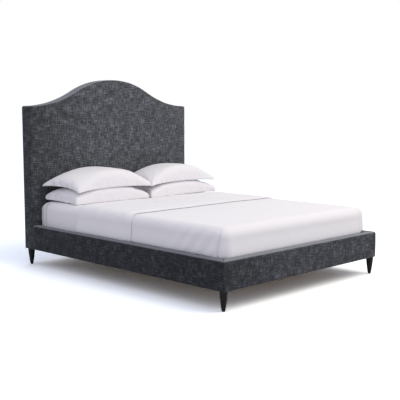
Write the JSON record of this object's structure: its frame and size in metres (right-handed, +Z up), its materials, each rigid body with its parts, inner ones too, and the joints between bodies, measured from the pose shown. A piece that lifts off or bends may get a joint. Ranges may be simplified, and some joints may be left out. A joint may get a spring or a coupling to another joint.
{
  "type": "upholstered platform bed",
  "caption": "Upholstered platform bed with a tall camelback headboard, padded rails on short turned legs, a slatted base, a mattress, tucked sheets and stacked pillows.",
  "frame": {"origin": "on the floor, under the middle of the bed's overall box", "axes": "+Z up; +Y from the foot to the head; +X to the right as seen from the foot"},
  "size_m": [1.69, 2.228, 1.5],
  "materials": {
    "upholstery": "charcoal slub weave, matt, cross-hatched with lighter and darker threads",
    "black_cloth": "matt black backing cloth",
    "foam": "open-cell upholstery foam",
    "pine": "planed, unfinished",
    "plywood": "sanded, unfinished",
    "lacquered_wood": "near-black satin lacquer",
    "steel": "zinc plated",
    "nylon": "moulded",
    "mattress_ticking": "quilted knit",
    "white_cotton": "smooth white percale"
  },
  "bodies": {
    "root": {"headboard_cover": "upholstery", "headboard_foam": "foam", "headboard_panel": "plywood", "headboard_back_panel": "black_cloth", "headboard_crown_rail": "plywood", "headboard_post_left": "pine", "headboard_post_right": "pine", "headboard_middle_rail": "pine", "headboard_bottom_rail": "pine", "side_rail_cover_left": "upholstery", "side_rail_foam_left": "foam", "side_rail_board_left": "pine", "corner_post_left": "pine", "side_rail_cover_right": "upholstery", "side_rail_foam_right": "foam", "side_rail_board_right": "pine", "corner_post_right": "pine", "foot_rail_cover": "upholstery", "foot_rail_foam": "foam", "foot_rail_board": "pine", "leg_head_left": "lacquered_wood", "glide_head_left": "nylon", "leg_head_right": "lacquered_wood", "glide_head_right": "nylon", "leg_foot_left": "lacquered_wood", "glide_foot_left": "nylon", "leg_foot_right": "lacquered_wood", "glide_foot_right": "nylon", "ledger_left": "pine", "corner_bracket_left": "steel", "ledger_right": "pine", "corner_bracket_right": "steel", "centre_beam": "pine", "beam_hanger_head": "steel", "beam_hanger_foot": "steel", "slat_01": "pine", "slat_02": "pine", "slat_03": "pine", "slat_04": "pine", "slat_05": "pine", "slat_06": "pine", "slat_07": "pine", "slat_08": "pine", "slat_09": "pine", "slat_10": "pine", "slat_11": "pine", "slat_12": "pine", "slat_13": "pine", "centre_support_head": "pine", "centre_support_foot": "pine", "mattress": "mattress_ticking", "fitted_sheet": "white_cotton", "top_sheet": "white_cotton", "pillow_lower_left": "white_cotton", "pillow_lower_right": "white_cotton", "pillow_upper_left": "white_cotton", "pillow_upper_right": "white_cotton"},
    "levelling_foot_head": {"levelling_foot_head": "nylon"},
    "levelling_foot_foot": {"levelling_foot_foot": "nylon"}
  },
  "joints": [
    {"name": "level_head", "type": "slide", "parent": "root", "child": "levelling_foot_head", "axis": [0, 0, 1], "range_m": [-0.01, 0.012]},
    {"name": "level_foot", "type": "slide", "parent": "root", "child": "levelling_foot_foot", "axis": [0, 0, 1], "range_m": [-0.01, 0.012]}
  ]
}
